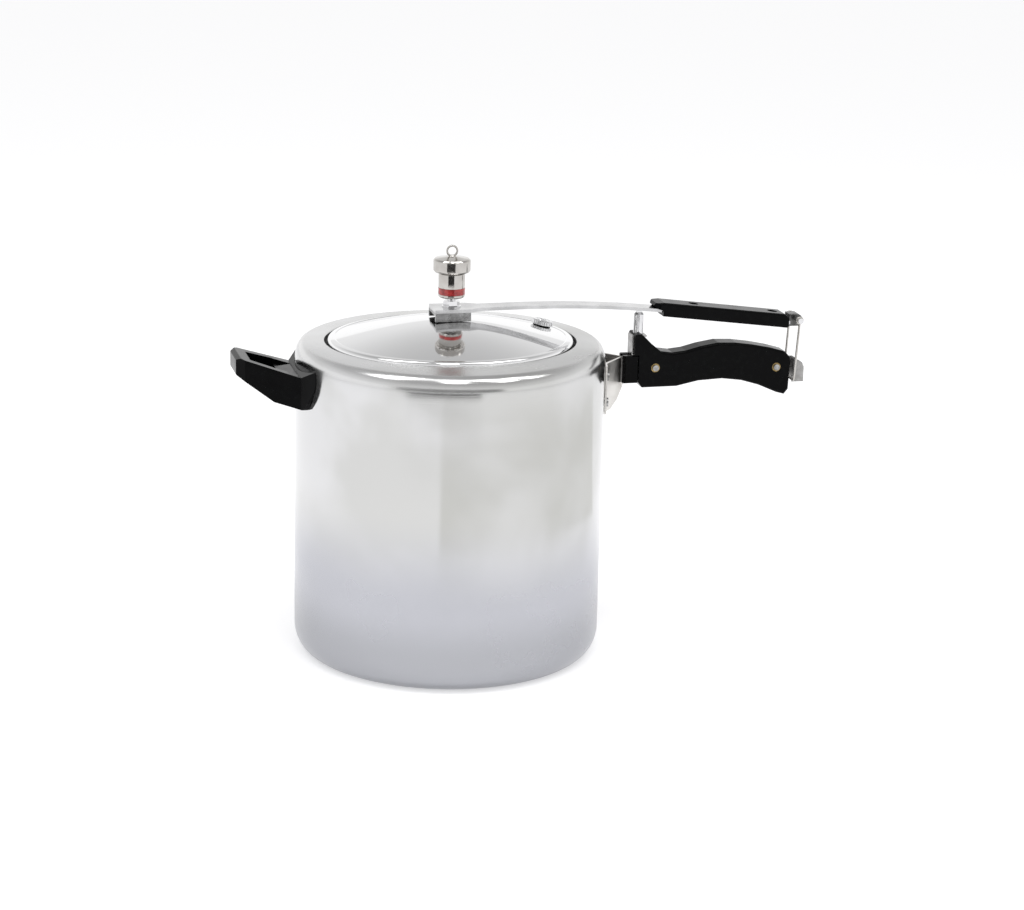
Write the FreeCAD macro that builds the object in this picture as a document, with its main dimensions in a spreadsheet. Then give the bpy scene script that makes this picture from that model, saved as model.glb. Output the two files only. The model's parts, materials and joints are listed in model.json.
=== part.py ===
"""Inner-lid aluminium pressure canner, as a parametric FreeCAD document.

Frame: millimetres, +Z up, +X along the main handle, origin on the pot's axis at its base.
"""
import FreeCAD, Part
import math
import os
import Sketcher

doc = FreeCAD.newDocument("pressure_canner")

# ---------------------------------------------------------------- driving dimensions

DIMENSIONS = {
    # pot
    "pot_radius": 140.0,
    "pot_wall": 3.5,
    "base_thick": 5.0,
    "base_corner": 22.0,
    "shoulder_top": 285.4,
    "shoulder_round": 10.0,
    "crown_top": 288.0,
    "crown_thick": 4.0,
    "crown_flat": 124.0,
    "mouth_long": 114.0,
    "mouth_short": 103.0,
    # lid
    "lid_thick": 3.0,
    "lid_gap": 2.5,
    "lid_overlap": 6.5,
    "lid_base": 286.1,
    "lid_base_radius": 125.0,
    "flange_top": 279.0,
    "plateau_radius": 18.0,
    "boss_radius": 12.0,
    "boss_top": 307.3,
    "boss_under": 299.5,
    "gasket_clear": 0.3,
    # lid bar and the bridge under it
    "bar_thick": 3.0,
    "bar_width": 18.0,
    "bar_end_width": 29.0,
    "bar_back": -17.5,
    "bar_seat": 315.0,
    "bar_bend_start": 70.0,
    "bar_bend_end": 205.0,
    "bar_slope": 6.9,
    "bar_tip": 320.0,
    "bridge_front": 15.0,
    "bridge_wall": 2.5,
    # vent and weight
    "stem_radius": 3.8,
    "stem_thread": 4.6,
    "stem_top": 341.0,
    "vent_bore": 1.5,
    "nut_height": 5.8,
    "nut_flats": 13.0,
    "weight_base": 326.9,
    "weight_radius": 12.0,
    "cap_base": 350.0,
    "cap_top": 362.4,
    "cap_radius": 16.8,
    "band_base": 329.9,
    "band_top": 335.7,
    "ring_height": 368.8,
    "ring_mean": 4.6,
    "ring_wire": 0.95,
    # safety valve on the lid
    "valve_x": 89.0,
    "valve_y": 18.0,
    "valve_z": 293.2,
    "valve_tilt": 11.5,
    "valve_radius": 9.8,
    "valve_nut_flats": 15.0,
    # lid handle
    "grip_back": 318.0,
    "lid_grip_front": 188.0,
    "lid_grip_width": 23.0,
    "lid_grip_thick": 12.5,
    "screw_near": 228.0,
    "screw_far": 305.0,
    # body handle
    "handle_front": 175.0,
    "handle_width": 20.0,
    "tang_low": 249.0,
    "tang_high": 262.0,
    "tang_thick": 3.0,
    "tang_end": 316.0,
    "bolt_near_x": 191.0,
    "bolt_near_z": 256.5,
    "bolt_far_x": 308.5,
    "bolt_far_z": 253.0,
    "bolt_radius": 1.8,
    # pot bracket and fulcrum
    "sheet": 1.6,
    "bracket_low": 222.0,
    "bracket_high": 266.5,
    "neck_x": 160.0,
    "post_x": 176.0,
    "post_radius": 4.6,
    "post_top": 309.7,
    "rocker_radius": 2.2,
    "tab_top": 287.0,
    "tab_width": 13.0,
    # locking loop
    "pivot_x": 327.6,
    "pivot_z": 297.5,
    "pin_radius": 1.5,
    "wire_radius": 1.1,
    "loop_half": 13.6,
    "loop_drop": 57.0,
    "loop_lean": 3.0,
    "eye_mean": 2.7,
    # helper handle
    "helper_root": -142.0,
    "helper_tip": -197.0,
    "helper_foot_half": 49.0,
    "helper_foot_top": 274.0,
    "helper_root_half": 34.0,
    "helper_top": 265.5,
    "helper_tip_half": 24.0,
    "pad_clear": 0.3,
}

# the rivets' places round the wall, as degrees from the handle and heights
RIVETS = [(side * 12.9, height) for side in (-1, 1) for height in (232, 256)]
RIVET_HOLE = 2.05
RIVET_SHANK = 2.0
HELPER_AXIS = "255"

dims = doc.addObject("Spreadsheet::Sheet", "Dims")
for row, (alias, value) in enumerate(DIMENSIONS.items(), start=1):
    dims.set("A%d" % row, alias)
    dims.set("B%d" % row, str(value))
    dims.setAlias("B%d" % row, alias)
doc.recompute()


def cell(alias):
    """A driving dimension's value, read from the sheet."""
    return float(getattr(dims, alias))


def bound(text):
    """An expression in which each driving dimension's name points at its cell."""
    words = []
    word = ""
    for letter in str(text) + " ":
        if letter.isalnum() or letter == "_":
            word += letter
            continue
        words.append("Dims." + word if word in DIMENSIONS else word)
        words.append(letter)
        word = ""
    return "".join(words).strip()


def bind(thing, **sizes):
    """Tie properties to expressions; a double underscore stands for a dot."""
    for prop, text in sizes.items():
        thing.setExpression(prop.replace("__", "."), bound(text))
    return thing


def locate(thing, x=0, y=0, z=0, turn=None):
    """Place an object at three expressions, with an optional (axis, degrees) turn."""
    if turn:
        thing.Placement = FreeCAD.Placement(FreeCAD.Vector(), FreeCAD.Rotation(*turn))
    return bind(thing, Placement__Base__x=x, Placement__Base__y=y, Placement__Base__z=z)


ALONG_Y = (FreeCAD.Vector(1, 0, 0), -90)
ALONG_X = (FreeCAD.Vector(0, 1, 0), 90)

# ---------------------------------------------------------------- solids from primitives


def cylinder(name, radius, height, x=0, y=0, z=0, turn=None):
    thing = doc.addObject("Part::Cylinder", name)
    bind(thing, Radius=radius, Height=height)
    return locate(thing, x, y, z, turn)


def cone(name, low, high, height, x=0, y=0, z=0, turn=None):
    thing = doc.addObject("Part::Cone", name)
    bind(thing, Radius1=low, Radius2=high, Height=height)
    return locate(thing, x, y, z, turn)


def box(name, length, width, height, x=0, y=0, z=0):
    thing = doc.addObject("Part::Box", name)
    bind(thing, Length=length, Width=width, Height=height)
    return locate(thing, x, y, z)


def torus(name, mean, wire, x=0, y=0, z=0, turn=None):
    thing = doc.addObject("Part::Torus", name)
    bind(thing, Radius1=mean, Radius2=wire)
    return locate(thing, x, y, z, turn)


def hexagon(name, flats, height, x=0, y=0, z=0, turn=None):
    thing = doc.addObject("Part::Prism", name)
    thing.Polygon = 6
    bind(thing, Circumradius="(%s) / sqrt(3)" % flats, Height=height)
    return locate(thing, x, y, z, turn)


def oval(name, long_semi, short_semi, base, top):
    """An upright elliptical prism between two heights."""
    curve = doc.addObject("Part::Ellipse", name + "_curve")
    bind(curve, MajorRadius=long_semi, MinorRadius=short_semi)
    prism = doc.addObject("Part::Extrusion", name)
    prism.Base = curve
    prism.DirMode = "Custom"
    prism.Dir = FreeCAD.Vector(0, 0, 1)
    prism.Solid = True
    bind(prism, LengthFwd="(%s) - (%s)" % (top, base))
    return locate(prism, z=base)


def cut(name, base, tool):
    thing = doc.addObject("Part::Cut", name)
    thing.Base = base
    thing.Tool = tool
    return thing


def fuse(name, *shapes):
    thing = doc.addObject("Part::MultiFuse", name)
    thing.Shapes = list(shapes)
    thing.Refine = True
    return thing


def common(name, *shapes):
    thing = doc.addObject("Part::MultiCommon", name)
    thing.Shapes = list(shapes)
    return thing


def group(name, *shapes):
    """Identical or paired pieces kept as separate solids of one sub-part."""
    thing = doc.addObject("Part::Compound", name)
    thing.Links = list(shapes)
    return thing


# ---------------------------------------------------------------- solids from sketches


def plane(body, role):
    """One of a body's own origin planes."""
    for feature in body.Origin.OriginFeatures:
        if feature.Role == role:
            return feature
    raise ValueError(role)


def sketch(body, name, role, outlines, offset=0, rounds=None):
    """A sketch whose every corner is held by two expressions.

    rounds holds (x, y, radius) circles; offset is the sketch plane's own expression.
    """
    drawing = body.newObject("Sketcher::SketchObject", name)
    drawing.AttachmentSupport = [(plane(body, role), "")]
    drawing.MapMode = "FlatFace"
    bind(drawing, AttachmentOffset__Base__z=offset)
    for outline in outlines:
        first = drawing.GeometryCount
        corners = [(evaluate(x), evaluate(y)) for x, y in outline]
        closed = corners[1:] + corners[:1]
        for start, end in zip(corners, closed):
            drawing.addGeometry(Part.LineSegment(FreeCAD.Vector(*start, 0), FreeCAD.Vector(*end, 0)), False)
        count = len(outline)
        for side in range(count):
            following = first + (side + 1) % count
            drawing.addConstraint(Sketcher.Constraint("Coincident", first + side, 2, following, 1))
        for side, (x, y) in enumerate(outline):
            hold(drawing, first + side, 1, x, y)
    for x, y, radius in rounds or []:
        centre = FreeCAD.Vector(evaluate(x), evaluate(y), 0)
        circle = drawing.addGeometry(Part.Circle(centre, FreeCAD.Vector(0, 0, 1), evaluate(radius)), False)
        hold(drawing, circle, 3, x, y)
        index = drawing.addConstraint(Sketcher.Constraint("Radius", circle, evaluate(radius)))
        drawing.setExpression("Constraints[%d]" % index, bound(radius))
    return drawing


def evaluate(text):
    """The value that an expression has now."""
    return float(dims.evalExpression(bound(text).replace("Dims.", "")))


def hold(drawing, element, point, x, y):
    """Fix a sketch point at two expressions, measured from the sketch's origin."""
    for kind, text in (("DistanceX", x), ("DistanceY", y)):
        index = drawing.addConstraint(Sketcher.Constraint(kind, element, point, evaluate(text)))
        drawing.setExpression("Constraints[%d]" % index, bound(text))


def new_body(name):
    return doc.addObject("PartDesign::Body", name)


def pad(body, drawing, length, middle=False, backward=False):
    feature = body.newObject("PartDesign::Pad", drawing.Name + "_pad")
    feature.Profile = drawing
    bind(feature, Length=length)
    feature.Midplane = middle
    feature.Reversed = backward
    doc.recompute()
    return feature


def pocket(body, drawing, length, middle=False, backward=False):
    """A pocket that must take material away."""
    before = body.Shape.Volume
    feature = body.newObject("PartDesign::Pocket", drawing.Name + "_pocket")
    feature.Profile = drawing
    bind(feature, Length=length)
    feature.Midplane = middle
    feature.Reversed = backward
    doc.recompute()
    if feature.Shape.Volume > before - 0.5:
        raise RuntimeError("%s cuts nothing" % feature.Name)
    return feature


def revolve(body, drawing):
    """A full turn of an XZ sketch about its vertical axis."""
    feature = body.newObject("PartDesign::Revolution", drawing.Name + "_turn")
    feature.Profile = drawing
    feature.ReferenceAxis = (drawing, ["V_Axis"])
    feature.Angle = 360
    doc.recompute()
    return feature


def smooth(body, radius, wanted, kind="Fillet"):
    """Round or chamfer the body's edges that wanted(edge) picks."""
    tip = body.Tip
    names = ["Edge%d" % (i + 1) for i, edge in enumerate(tip.Shape.Edges) if wanted(edge)]
    if not names:
        raise RuntimeError("%s: no edges to smooth" % body.Name)
    feature = body.newObject("PartDesign::" + kind, "%s_%s_%d" % (body.Name, kind.lower(), len(body.Group)))
    feature.Base = (tip, names)
    bind(feature, **{"Radius" if kind == "Fillet" else "Size": radius})
    doc.recompute()
    return feature


def ring_edge(radius, height, slack=0.05):
    """Picks the circular edge of one radius at one height."""
    def wanted(edge):
        curve = edge.Curve
        if not isinstance(curve, Part.Circle):
            return False
        return abs(curve.Radius - radius) < slack and abs(curve.Center.z - height) < slack
    return wanted


def runs_along(axis):
    """Picks straight edges along one axis, 0 for X, 1 for Y, 2 for Z."""
    def wanted(edge):
        if not isinstance(edge.Curve, Part.Line):
            return False
        return abs(edge.tangentAt(edge.FirstParameter)[axis]) > 0.99
    return wanted


def at_side(half):
    """Picks the edges that lie in one of the two faces y = half and y = -half."""
    def wanted(edge):
        points = edge.discretize(5)
        return all(abs(abs(p.y) - half) < 0.01 for p in points) and abs(points[0].y - points[-1].y) < 0.01
    return wanted


PARTS = []


def sub_part(thing, label):
    """Register a finished sub-part under the name of its file."""
    thing.Label = label
    PARTS.append(thing)
    return thing


# ---------------------------------------------------------------- pot


def make_pot():
    """Drawn pot: base, wall, rolled shoulder and a flat crown with an oval mouth."""
    body = new_body("pot_shell")
    profile = [
        ("0", "0"),
        ("pot_radius", "0"),
        ("pot_radius", "shoulder_top"),
        ("mouth_long - 2", "crown_top"),
        ("mouth_short - 13", "crown_top"),
        ("mouth_short - 13", "crown_top - crown_thick"),
        ("crown_flat", "crown_top - crown_thick"),
        ("pot_radius - pot_wall", "shoulder_top - crown_thick"),
        ("pot_radius - pot_wall", "base_thick"),
        ("0", "base_thick"),
    ]
    revolve(body, sketch(body, "pot_profile", "XZ_Plane", [profile]))
    inner = cell("pot_radius") - cell("pot_wall")
    smooth(body, "base_corner", ring_edge(cell("pot_radius"), 0))
    smooth(body, "shoulder_round", ring_edge(cell("pot_radius"), cell("shoulder_top")))
    smooth(body, "base_corner - pot_wall", ring_edge(inner, cell("base_thick")))
    smooth(body, "shoulder_round - pot_wall", ring_edge(inner, cell("shoulder_top") - cell("crown_thick")))
    mouth = oval("mouth_cut", "mouth_long", "mouth_short", "crown_top - 12", "crown_top + 4")
    open_pot = cut("pot_open", body, mouth)
    holes = [rivet_shank("pot_rivet_hole_%d" % i, place, RIVET_HOLE) for i, place in enumerate(RIVETS)]
    stud = cylinder("pot_stud_hole", 3.05, 12, x="-pot_radius - 3", z=HELPER_AXIS, turn=ALONG_X)
    sub_part(cut("pot_bored", open_pot, fuse("pot_holes", *holes, stud)), "pot_body")


def on_wall(degrees, radius):
    """The X and Y of a point at an angle about the pot's axis."""
    angle = math.radians(degrees)
    return radius * math.cos(angle), radius * math.sin(angle)


def rivet_shank(name, place, radius):
    """A radial shank through the pot wall and the bracket's flange."""
    degrees, height = place
    start = cell("pot_radius") - cell("pot_wall") - 1.0
    x, y = on_wall(degrees, start)
    shank = doc.addObject("Part::Cylinder", name)
    shank.Radius = radius
    bind(shank, Height="pot_wall + sheet + 2.5")
    direction = FreeCAD.Vector(x, y, 0)
    shank.Placement = FreeCAD.Placement(
        FreeCAD.Vector(x, y, height), FreeCAD.Rotation(FreeCAD.Vector(0, 0, 1), direction))
    return shank


def make_bracket_rivets():
    """Four rivets, each a shank with a domed outer head and a flat inner head."""
    rivets = []
    for i, (degrees, height) in enumerate(RIVETS):
        shank = rivet_shank("rivet_shank_%d" % i, (degrees, height), RIVET_SHANK)
        heads = []
        reach = {
            "inner": cell("pot_radius") - cell("pot_wall") - 1.9,
            "outer": cell("pot_radius") + cell("sheet") + 0.55,
        }
        for side, radius in reach.items():
            x, y = on_wall(degrees, radius)
            head = doc.addObject("Part::Cylinder", "rivet_%s_%d" % (side, i))
            head.Radius = 4.0
            head.Height = 1.6
            head.Placement = FreeCAD.Placement(
                FreeCAD.Vector(x, y, height), FreeCAD.Rotation(FreeCAD.Vector(0, 0, 1), FreeCAD.Vector(x, y, 0)))
            heads.append(head)
        rivets.append(fuse("rivet_%d" % i, shank, *heads))
    sub_part(group("rivets", *rivets), "bracket_rivets")


# ---------------------------------------------------------------- pot bracket, tang and fulcrum


def make_bracket_wing(side, label):
    """One pressed sheet: a flange curved to the pot, a splayed wing and a straight neck."""
    body = new_body(label + "_blank")
    flange_end = 15.5
    flange_root = 9.6
    inner = cell("pot_radius") + 0.4
    outer = inner + cell("sheet")
    steps = 4
    sweep = [flange_end - (flange_end - flange_root) * i / steps for i in range(steps + 1)]
    skin = [on_wall(side * angle, inner) for angle in sweep]
    back = [on_wall(side * angle, outer) for angle in reversed(sweep[:-1])]
    neck_in = side * (cell("tang_thick") / 2 + 0.05)
    neck_out = neck_in + side * cell("sheet")
    tail = cell("handle_front") - 2.8
    neck = [
        (cell("neck_x") - 1.0, neck_in),
        (tail, neck_in),
        (tail, neck_out),
        (cell("neck_x"), neck_out),
    ]
    outline = [(str(round(x, 3)), str(round(y, 3))) for x, y in skin + neck + back]
    plan = sketch(body, label + "_plan", "XY_Plane", [outline], offset="bracket_low")
    pad(body, plan, "bracket_high - bracket_low")
    trim = [
        ("146", "bracket_low - 1"),
        ("146", "bracket_low"),
        ("155.5", "bracket_low + 6.5"),
        ("160.5", "bracket_low + 13.5"),
        ("162.5", "bracket_low + 20"),
        ("handle_front + 1", "bracket_low + 20"),
        ("handle_front + 1", "bracket_low - 1"),
    ]
    pocket(body, sketch(body, label + "_trim", "XZ_Plane", [trim]), "200", middle=True)
    holes = [rivet_shank("%s_hole_%d" % (label, i), place, RIVET_HOLE) for i, place in enumerate(RIVETS)]
    pin = cylinder(label + "_pin_hole", 2.55, 60, x="neck_x + 7", y="-30", z="tang_low + 6.5", turn=ALONG_Y)
    sub_part(cut(label + "_bored", body, fuse(label + "_holes", pin, *holes)), label)


def make_tang():
    """Flat steel bar through the neck and the whole body handle."""
    body = new_body("tang_blank")
    side = [
        ("neck_x - 8", "tang_low"),
        ("tang_end", "tang_low"),
        ("tang_end", "tang_high - 4"),
        ("tang_end - 12", "tang_high"),
        ("neck_x - 8", "tang_high"),
    ]
    holes = [
        ("bolt_near_x", "bolt_near_z", "bolt_radius + 0.05"),
        ("bolt_far_x", "bolt_far_z", "bolt_radius + 0.05"),
        ("neck_x + 7", "tang_low + 6.5", "2.55"),
    ]
    pad(body, sketch(body, "tang_side", "XZ_Plane", [side]), "tang_thick", middle=True)
    pocket(body, sketch(body, "tang_holes", "XZ_Plane", [], rounds=holes), "tang_thick + 2", middle=True)
    sub_part(body, "handle_tang")


def make_neck():
    """Black heat-guard cheeks either side of the neck, and the rivet through them."""
    cheeks = []
    for side, label in ((-1, "near"), (1, "far")):
        body = new_body("cheek_" + label)
        lip = "%d * (tang_thick / 2 + 0.05 + sheet + 0.05)" % side
        face = "%d * (handle_width / 2 - 1.5)" % side
        outline = [
            ("neck_x + 0.6", lip),
            ("handle_front - 0.7", lip),
            ("handle_front - 0.7", face),
            ("neck_x + 3", face),
            ("neck_x + 0.6", "%d * (handle_width / 2 - 4)" % side),
        ]
        plan = sketch(body, "cheek_plan_" + label, "XY_Plane", [outline], offset="bracket_low + 20.5")
        pad(body, plan, "bracket_high - bracket_low - 18.7")
        seat = [("neck_x + 7", "tang_low + 6.5", "4.3")]
        depth = 3.0 if side < 0 else -4.5
        drawing = sketch(body, "cheek_seat_" + label, "XZ_Plane", [], offset=depth, rounds=seat)
        pocket(body, drawing, "1.5", backward=True)
        smooth(body, 1.0, lambda edge, s=side: runs_along(0)(edge) and edge.CenterOfMass.y * s > 8)
        cheeks.append(body)
    sub_part(group("cheeks", *cheeks), "heat_guard_cheeks")

    lip = "(tang_thick / 2 + 0.1 + sheet)"
    height = "tang_low + 6.5"
    shank = cylinder("neck_shank", 2.5, "2 * %s + 0.2" % lip, x="neck_x + 7", y="-%s - 0.1" % lip, z=height, turn=ALONG_Y)
    heads = [
        cylinder("neck_head_near", 4.1, 0.9, x="neck_x + 7", y="-%s - 0.95" % lip, z=height, turn=ALONG_Y),
        cylinder("neck_head_far", 4.1, 0.9, x="neck_x + 7", y="%s + 0.05" % lip, z=height, turn=ALONG_Y),
    ]
    sub_part(fuse("neck_rivet_solid", shank, *heads), "neck_rivet")


def make_fulcrum():
    """The post that the lid bar rocks on, and the bent tab that steadies it."""
    foot = cylinder("post_foot", "post_radius - 1.1", "10", x="post_x", z="tang_high + 0.1")
    shaft = cylinder("post_shaft", "post_radius", "post_top - tang_high - 10.1 - 4", x="post_x", z="tang_high + 10.1")
    taper = cone("post_taper", "post_radius", "post_radius - 1.4", "1.8", x="post_x", z="post_top - 4")
    rocker = cylinder("post_rocker", "rocker_radius", 5.0, x="post_x", y="-2.5", z="post_top - rocker_radius",
                      turn=ALONG_Y)
    sub_part(fuse("post_solid", foot, shaft, taper, rocker), "fulcrum_post")

    body = new_body("tab_blank")
    face = "handle_front - 6.5"
    side = [
        (face, "bracket_high + 2.2"),
        ("handle_front - 4.9", "bracket_high + 2.2"),
        ("handle_front - 4.9", "tab_top - 1.6"),
        ("post_x + 6.4", "tab_top - 1.6"),
        ("post_x + 6.4", "tab_top"),
        (face, "tab_top"),
    ]
    pad(body, sketch(body, "tab_side", "XZ_Plane", [side]), "tab_width", middle=True)
    hole = [("post_x", "0", "post_radius + 0.05")]
    pocket(body, sketch(body, "tab_hole", "XY_Plane", [], offset="tab_top - 5", rounds=hole), "10", backward=True)
    sub_part(body, "post_tab")


# ---------------------------------------------------------------- body handle

BOLTS = (("near", "bolt_near_x", "bolt_near_z"), ("far", "bolt_far_x", "bolt_far_z"))


def make_body_handle():
    """Moulded grip with a slot for the tang, a bore for the post and two bolt holes."""
    body = new_body("grip_blank")
    side = [
        ("handle_front", "243"),
        ("handle_front + 4", "238"),
        ("212", "238.2"),
        ("233", "242.6"),
        ("256", "243.8"),
        ("275", "241.4"),
        ("292", "236.4"),
        ("310", "228.6"),
        ("grip_back - 0.5", "226.6"),
        ("grip_back + 3.4", "231.5"),
        ("grip_back + 4.4", "261.5"),
        ("grip_back - 1.5", "267.5"),
        ("302", "271.6"),
        ("285", "275"),
        ("268", "277.4"),
        ("251", "278"),
        ("234", "275.2"),
        ("220", "271.6"),
        ("207", "270.2"),
        ("196", "271.8"),
        ("187", "279"),
        ("180.5", "285.5"),
        ("177", "288.6"),
        ("handle_front - 3.4", "288.6"),
        ("handle_front - 4.6", "287.4"),
        ("handle_front - 4.6", "bracket_high + 2.4"),
        ("handle_front", "bracket_high + 2.4"),
    ]
    pad(body, sketch(body, "grip_side", "XZ_Plane", [side]), "handle_width", middle=True)
    half = cell("handle_width") / 2
    smooth(body, 2.6, lambda edge: at_side(half)(edge) and edge.CenterOfMass.x > cell("handle_front") + 1)
    slot = [
        ("-tang_thick / 2 - 0.1", "tang_low - 0.1"),
        ("tang_thick / 2 + 0.1", "tang_low - 0.1"),
        ("tang_thick / 2 + 0.1", "tang_high + 0.1"),
        ("-tang_thick / 2 - 0.1", "tang_high + 0.1"),
    ]
    slot_length = "tang_end - handle_front + 1"
    pocket(body, sketch(body, "grip_slot", "YZ_Plane", [slot], offset="handle_front"), slot_length, backward=True)
    bores = [(x, z, "bolt_radius + 0.05") for _, x, z in BOLTS]
    pocket(body, sketch(body, "grip_bores", "XZ_Plane", [], rounds=bores), "60", middle=True)
    post = [("post_x", "0", "post_radius + 0.1")]
    post_bore = sketch(body, "grip_post_bore", "XY_Plane", [], offset="tang_high + 10", rounds=post)
    pocket(body, post_bore, "40", backward=True)
    foot = [("post_x", "0", "post_radius - 1.0")]
    foot_bore = sketch(body, "grip_foot_bore", "XY_Plane", [], offset="tang_high - 0.2", rounds=foot)
    pocket(body, foot_bore, "11", backward=True)
    flap = [
        ("handle_front - 6", "tab_top - 1.7"),
        ("post_x + 6.5", "tab_top - 1.7"),
        ("post_x + 6.5", "tab_top + 0.1"),
        ("handle_front - 6", "tab_top + 0.1"),
    ]
    pocket(body, sketch(body, "grip_flap_slot", "XZ_Plane", [flap]), "tab_width + 0.2", middle=True)
    recesses = [(x, z, "4.3") for _, x, z in BOLTS]
    for label, offset in (("near", "handle_width / 2 - 1.2"), ("far", "-handle_width / 2 - 1")):
        pocket(body, sketch(body, "grip_recess_" + label, "XZ_Plane", [], offset=offset, rounds=recesses), "2.2",
               backward=True)
    sub_part(body, "body_handle_grip")

    bolts, nuts, washers = [], [], []
    for label, x, z in BOLTS:
        shank = cylinder("bolt_shank_" + label, "bolt_radius", "handle_width - 0.6", x=x, y="-handle_width / 2 + 0.3",
                         z=z, turn=ALONG_Y)
        head = cylinder("bolt_head_" + label, 2.8, 1.6, x=x, y="-handle_width / 2 - 1.1", z=z, turn=ALONG_Y)
        neck = cylinder("bolt_neck_" + label, "bolt_radius", 1.5, x=x, y="-handle_width / 2 - 0.6", z=z, turn=ALONG_Y)
        bolts.append(fuse("bolt_" + label, head, neck, shank))
        nut = hexagon("handle_nut_blank_" + label, 6.0, 2.4, x=x, y="handle_width / 2 - 0.6", z=z, turn=ALONG_Y)
        bore = cylinder("handle_nut_bore_" + label, "bolt_radius + 0.02", 6, x=x, y="handle_width / 2 - 3", z=z,
                        turn=ALONG_Y)
        nuts.append(cut("handle_nut_" + label, nut, bore))
        for end, y in (("near", "-handle_width / 2 + 0.5"), ("far", "handle_width / 2 - 1.15")):
            name = "washer_%s_%s" % (label, end)
            disc = cylinder(name + "_disc", 4.1, 0.6 if end == "near" else 0.5, x=x, y=y, z=z, turn=ALONG_Y)
            eye = cylinder(name + "_eye", "bolt_radius + 0.05", 4, x=x, y=y + " - 1", z=z, turn=ALONG_Y)
            washers.append(cut(name, disc, eye))
    sub_part(group("bolts", *bolts), "handle_bolts")
    sub_part(group("handle_nut_pair", *nuts), "handle_nuts")
    sub_part(group("washers", *washers), "handle_washers")


# ---------------------------------------------------------------- helper handle


def make_helper_handle():
    """Moulded ear opposite the main handle, with a finger window and a flared foot."""
    body = new_body("helper_blank")
    plan = [
        ("-pot_radius + 15", "-helper_foot_half"),
        ("-pot_radius + 15", "helper_foot_half"),
        ("helper_root + 10.5", "helper_foot_half"),
        ("helper_root", "helper_root_half"),
        ("helper_tip + 7", "helper_tip_half + 1"),
        ("helper_tip", "helper_tip_half - 7"),
        ("helper_tip", "-helper_tip_half + 7"),
        ("helper_tip + 7", "-helper_tip_half - 1"),
        ("helper_root", "-helper_root_half"),
        ("helper_root + 10.5", "-helper_foot_half"),
    ]
    pad(body, sketch(body, "helper_plan", "XY_Plane", [plan], offset="225"), "70")
    above = [
        ("-pot_radius + 20", "helper_foot_top"),
        ("helper_root + 10.5", "helper_foot_top"),
        ("helper_root", "helper_top"),
        ("helper_tip + 4", "282"),
        ("helper_tip - 5", "278"),
        ("helper_tip - 5", "300"),
        ("-pot_radius + 20", "300"),
    ]
    below = [
        ("-pot_radius + 20", "236.5"),
        ("helper_root", "236.5"),
        ("helper_root - 23", "243.5"),
        ("helper_tip + 6", "262.5"),
        ("helper_tip - 5", "270"),
        ("helper_tip - 5", "220"),
        ("-pot_radius + 20", "220"),
    ]
    pocket(body, sketch(body, "helper_above", "XZ_Plane", [above]), "120", middle=True)
    pocket(body, sketch(body, "helper_below", "XZ_Plane", [below]), "120", middle=True)
    tip_edges = runs_along(1)
    smooth(body, 1.6, lambda edge: tip_edges(edge) and edge.CenterOfMass.x < cell("helper_root") - 10)
    window = [
        ("helper_tip + 13", "-helper_tip_half + 8"),
        ("helper_tip + 13", "helper_tip_half - 8"),
        ("helper_root - 17", "helper_root_half - 12"),
        ("helper_root - 17", "-helper_root_half + 12"),
    ]
    pocket(body, sketch(body, "helper_window", "XY_Plane", [window], offset="220"), "80", backward=True)
    for side, label in ((-1, "near"), (1, "far")):
        corner = [
            ("%d * (helper_foot_half + 2)" % side, "230"),
            ("%d * (helper_foot_half + 2)" % side, "268"),
            ("%d * (helper_foot_half - 2)" % side, "256"),
            ("%d * (helper_foot_half - 8)" % side, "244"),
            ("%d * (helper_root_half + 0.5)" % side, "236"),
            ("%d * (helper_root_half + 0.5)" % side, "230"),
        ]
        pocket(body, sketch(body, "helper_corner_" + label, "YZ_Plane", [corner], offset="-pot_radius - 15"), "40",
               backward=True)
    dish_start = "helper_root - 17.5"
    dish = [
        ("helper_root - 1", "helper_top + 10"),
        ("helper_root - 1", "helper_top"),
        (dish_start, "helper_top + 1.5"),
        (dish_start, "helper_top + 20"),
    ]
    pocket(body, sketch(body, "helper_dish", "XZ_Plane", [dish]), "helper_root_half + 8", middle=True)
    hollow = cylinder("helper_hollow", "pot_radius + pad_clear", 100, z=220)
    plate_ring = cylinder("helper_plate_ring", "pot_radius + sheet + pad_clear", 18.6, z="255 - 9.3")
    plate_room = common("helper_plate_room", plate_ring,
                        box("helper_plate_reach", 40, 44.6, 18.6, x="-pot_radius - 20", y=-22.3, z="255 - 9.3"))
    bore = cylinder("helper_bore", 3.1, 60, x="helper_root - 30", z=HELPER_AXIS, turn=ALONG_X)
    seat = cylinder("helper_seat", 6.6, 20, x="helper_root - 17 - 16", z=HELPER_AXIS, turn=ALONG_X)
    sub_part(cut("helper_solid", body, fuse("helper_cuts", hollow, plate_room, bore, seat)), "helper_handle")

    outer = cylinder("helper_plate_outer", "pot_radius + sheet + 0.1", 18, z="255 - 9")
    inner = cylinder("helper_plate_inner", "pot_radius + 0.1", 30, z="255 - 15")
    strap = box("helper_plate_strap", 40, 44, 18, x="-pot_radius - 20", y=-22, z="255 - 9")
    curved = cut("helper_plate_curved", common("helper_plate_band", outer, strap), inner)
    eye = cylinder("helper_plate_eye", 3.05, 40, x="-pot_radius - 20", z=HELPER_AXIS, turn=ALONG_X)
    sub_part(cut("helper_plate_solid", curved, eye), "helper_plate")

    shank = cylinder("helper_screw_shank", 3.0, "-helper_root + 17 - 3 - pot_radius + pot_wall + 3",
                     x="helper_root - 14", z=HELPER_AXIS, turn=ALONG_X)
    head = cylinder("helper_screw_head", 5.6, 3.0, x="helper_root - 16.05", z=HELPER_AXIS, turn=ALONG_X)
    sub_part(fuse("helper_screw_solid", shank, head), "helper_screw")

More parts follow.
